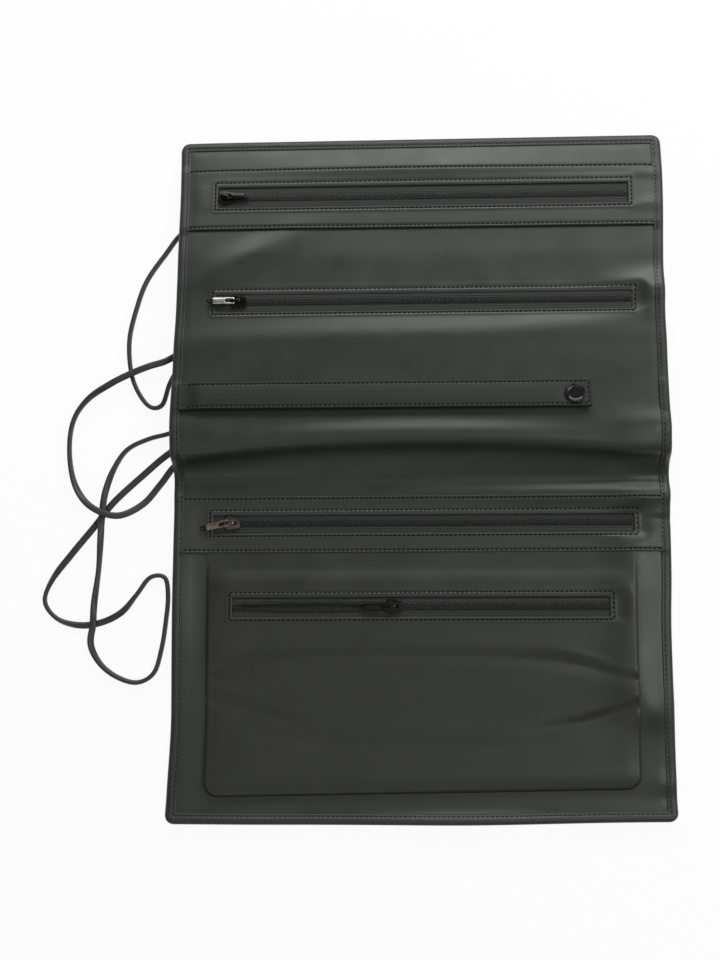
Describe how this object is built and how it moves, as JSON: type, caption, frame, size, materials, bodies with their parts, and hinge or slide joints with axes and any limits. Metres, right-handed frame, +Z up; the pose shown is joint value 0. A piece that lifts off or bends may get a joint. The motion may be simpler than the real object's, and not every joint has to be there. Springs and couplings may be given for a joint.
{
  "type": "jewelry roll",
  "caption": "Open leather jewelry roll in folding panels with zipped pockets, a padded ring strap with a snap, a lifting zipped pouch and flat tie cords",
  "frame": {"origin": "on the table, under the middle of the open roll's outline without its ties", "axes": "+Y towards the top flap along the roll's length, +X to the right when the inside faces the viewer, +Z up out of the open inside"},
  "size_m": [0.3373, 0.3714, 0.0242],
  "materials": {
    "cover": "satin",
    "lining": "satin",
    "binding": "satin",
    "pouch": "satin",
    "padding": "matte",
    "zip_tape": "matte",
    "tie": "satin",
    "dark_metal": "polished"
  },
  "bodies": {
    "upper_panel": {"cover_upper_panel": "cover", "interlining_upper_panel": "padding", "lining_upper_panel": "lining", "binding_upper_left": "binding", "binding_upper_right": "binding", "zip2_tape_upper": "zip_tape", "zip2_tape_lower": "zip_tape", "ring_strap_tab": "lining", "snap_stud": "dark_metal", "tie_tab": "lining", "tie_1": "tie", "tie_1_knot": "tie", "tie_2": "tie", "tie_2_knot": "tie"},
    "zip2_slider": {"zip2_slider": "dark_metal"},
    "zip2_puller": {"zip2_puller": "dark_metal"},
    "ring_strap": {"ring_strap_sleeve": "lining", "ring_strap_core": "padding", "snap_cap": "dark_metal", "snap_socket": "dark_metal"},
    "top_fold": {"cover_top_fold": "cover", "lining_top_fold": "lining"},
    "top_flap": {"cover_top_flap": "cover", "interlining_top_flap": "padding", "lining_top_flap": "lining", "binding_top_flap": "binding", "zip_panel_top": "lining", "zip1_tape_upper": "zip_tape", "zip1_tape_lower": "zip_tape"},
    "zip1_slider": {"zip1_slider": "dark_metal"},
    "zip1_puller": {"zip1_puller": "dark_metal"},
    "middle_fold": {"cover_middle_fold": "cover", "lining_middle_fold": "lining"},
    "lower_panel": {"cover_lower_panel": "cover", "interlining_lower_panel": "padding", "lining_lower_panel": "lining", "binding_lower_left": "binding", "binding_lower_right": "binding", "zip_panel_lower": "lining", "zip3_tape_upper": "zip_tape", "zip3_tape_lower": "zip_tape"},
    "zip3_slider": {"zip3_slider": "dark_metal"},
    "zip3_puller": {"zip3_puller": "dark_metal"},
    "bottom_fold": {"cover_bottom_fold": "cover", "lining_bottom_fold": "lining"},
    "bottom_flap": {"cover_bottom_flap": "cover", "interlining_bottom_flap": "padding", "lining_bottom_flap": "lining", "binding_bottom_flap": "binding"},
    "pouch_upper": {"pouch_back_upper": "pouch", "pouch_front_upper": "pouch", "zip4_tape_upper": "zip_tape", "zip4_tape_lower": "zip_tape"},
    "zip4_slider": {"zip4_slider": "dark_metal"},
    "zip4_puller": {"zip4_puller": "dark_metal"},
    "pouch_fold": {"pouch_fold": "pouch"},
    "pouch_lower": {"pouch_back_lower": "pouch", "pouch_front_lower": "pouch"}
  },
  "joints": [
    {"name": "top_fold_turn", "type": "hinge", "parent": "upper_panel", "child": "top_fold", "pos_m": [0, 0.11019, 0.01238], "axis": [1, 0, 0], "range_deg": [0, 85.8]},
    {"name": "top_flap_close", "type": "hinge", "parent": "top_fold", "child": "top_flap", "pos_m": [0, 0.11719, 0.01238], "axis": [1, 0, 0], "range_deg": [0, 97.5]},
    {"name": "middle_fold_turn", "type": "hinge", "parent": "upper_panel", "child": "middle_fold", "pos_m": [0, 0.01943, 0.01904], "axis": [-1, 0, 0], "range_deg": [0, 125.63]},
    {"name": "halves_close", "type": "hinge", "parent": "middle_fold", "child": "lower_panel", "pos_m": [0, -0.00617, 0.0034], "axis": [-1, 0, 0], "range_deg": [0, 58.57]},
    {"name": "bottom_fold_turn", "type": "hinge", "parent": "lower_panel", "child": "bottom_fold", "pos_m": [0, -0.09917, 0.0034], "axis": [-1, 0, 0], "range_deg": [0, 90]},
    {"name": "bottom_flap_close", "type": "hinge", "parent": "bottom_fold", "child": "bottom_flap", "pos_m": [0, -0.11317, 0.0034], "axis": [-1, 0, 0], "range_deg": [0, 90]},
    {"name": "pouch_lift", "type": "hinge", "parent": "lower_panel", "child": "pouch_upper", "pos_m": [0, -0.04682, 0.00475], "axis": [1, 0, 0], "range_deg": [-120, 0]},
    {"name": "pouch_fold_turn", "type": "hinge", "parent": "pouch_upper", "child": "pouch_fold", "pos_m": [0, -0.09917, 0.0034], "axis": [-1, 0, 0], "range_deg": [0, 90]},
    {"name": "pouch_bottom_close", "type": "hinge", "parent": "pouch_fold", "child": "pouch_lower", "pos_m": [0, -0.11317, 0.0034], "axis": [-1, 0, 0], "range_deg": [0, 90]},
    {"name": "ring_strap_open", "type": "hinge", "parent": "upper_panel", "child": "ring_strap", "pos_m": [-0.12355, 0.03825, 0.02267], "axis": [0, 0.9973, -0.0732], "range_deg": [-170, 0]},
    {"name": "zip1_slide", "type": "slide", "parent": "top_flap", "child": "zip1_slider", "axis": [-1, 0, 0], "range_m": [-0.2155, 0]},
    {"name": "zip2_slide", "type": "slide", "parent": "upper_panel", "child": "zip2_slider", "axis": [-1, 0, 0], "range_m": [-0.21, 0.01]},
    {"name": "zip3_slide", "type": "slide", "parent": "lower_panel", "child": "zip3_slider", "axis": [-1, 0, 0], "range_m": [-0.211, 0.0055]},
    {"name": "zip4_slide", "type": "slide", "parent": "pouch_upper", "child": "zip4_slider", "axis": [-1, 0, 0], "range_m": [-0.1095, 0.0825]},
    {"name": "zip1_puller_swing", "type": "hinge", "parent": "zip1_slider", "child": "zip1_puller", "pos_m": [-0.1081, 0.15234, 0.01123], "axis": [0, 0.9914, -0.1305], "range_deg": [-165, 0]},
    {"name": "zip2_puller_swing", "type": "hinge", "parent": "zip2_slider", "child": "zip2_puller", "pos_m": [-0.1002, 0.09141, 0.01611], "axis": [0, -0.9973, 0.0732], "range_deg": [-165, 0]},
    {"name": "zip3_puller_swing", "type": "hinge", "parent": "zip3_slider", "child": "zip3_puller", "pos_m": [-0.1036, -0.02897, 0.00685], "axis": [0.2079, -0.9781, 0], "range_deg": [-165, 0]},
    {"name": "zip4_puller_swing", "type": "hinge", "parent": "zip4_slider", "child": "zip4_puller", "pos_m": [-0.0166, -0.07397, 0.00945], "axis": [0, -1, 0], "range_deg": [-165, 0]}
  ],
  "couplings": [
    {"joint": "top_flap_close", "follows": "top_fold_turn", "ratio": 1.1364},
    {"joint": "middle_fold_turn", "follows": "halves_close", "ratio": 2.1447},
    {"joint": "bottom_flap_close", "follows": "bottom_fold_turn", "ratio": 1},
    {"joint": "pouch_fold_turn", "follows": "bottom_fold_turn", "ratio": 1},
    {"joint": "pouch_bottom_close", "follows": "bottom_fold_turn", "ratio": 1}
  ]
}
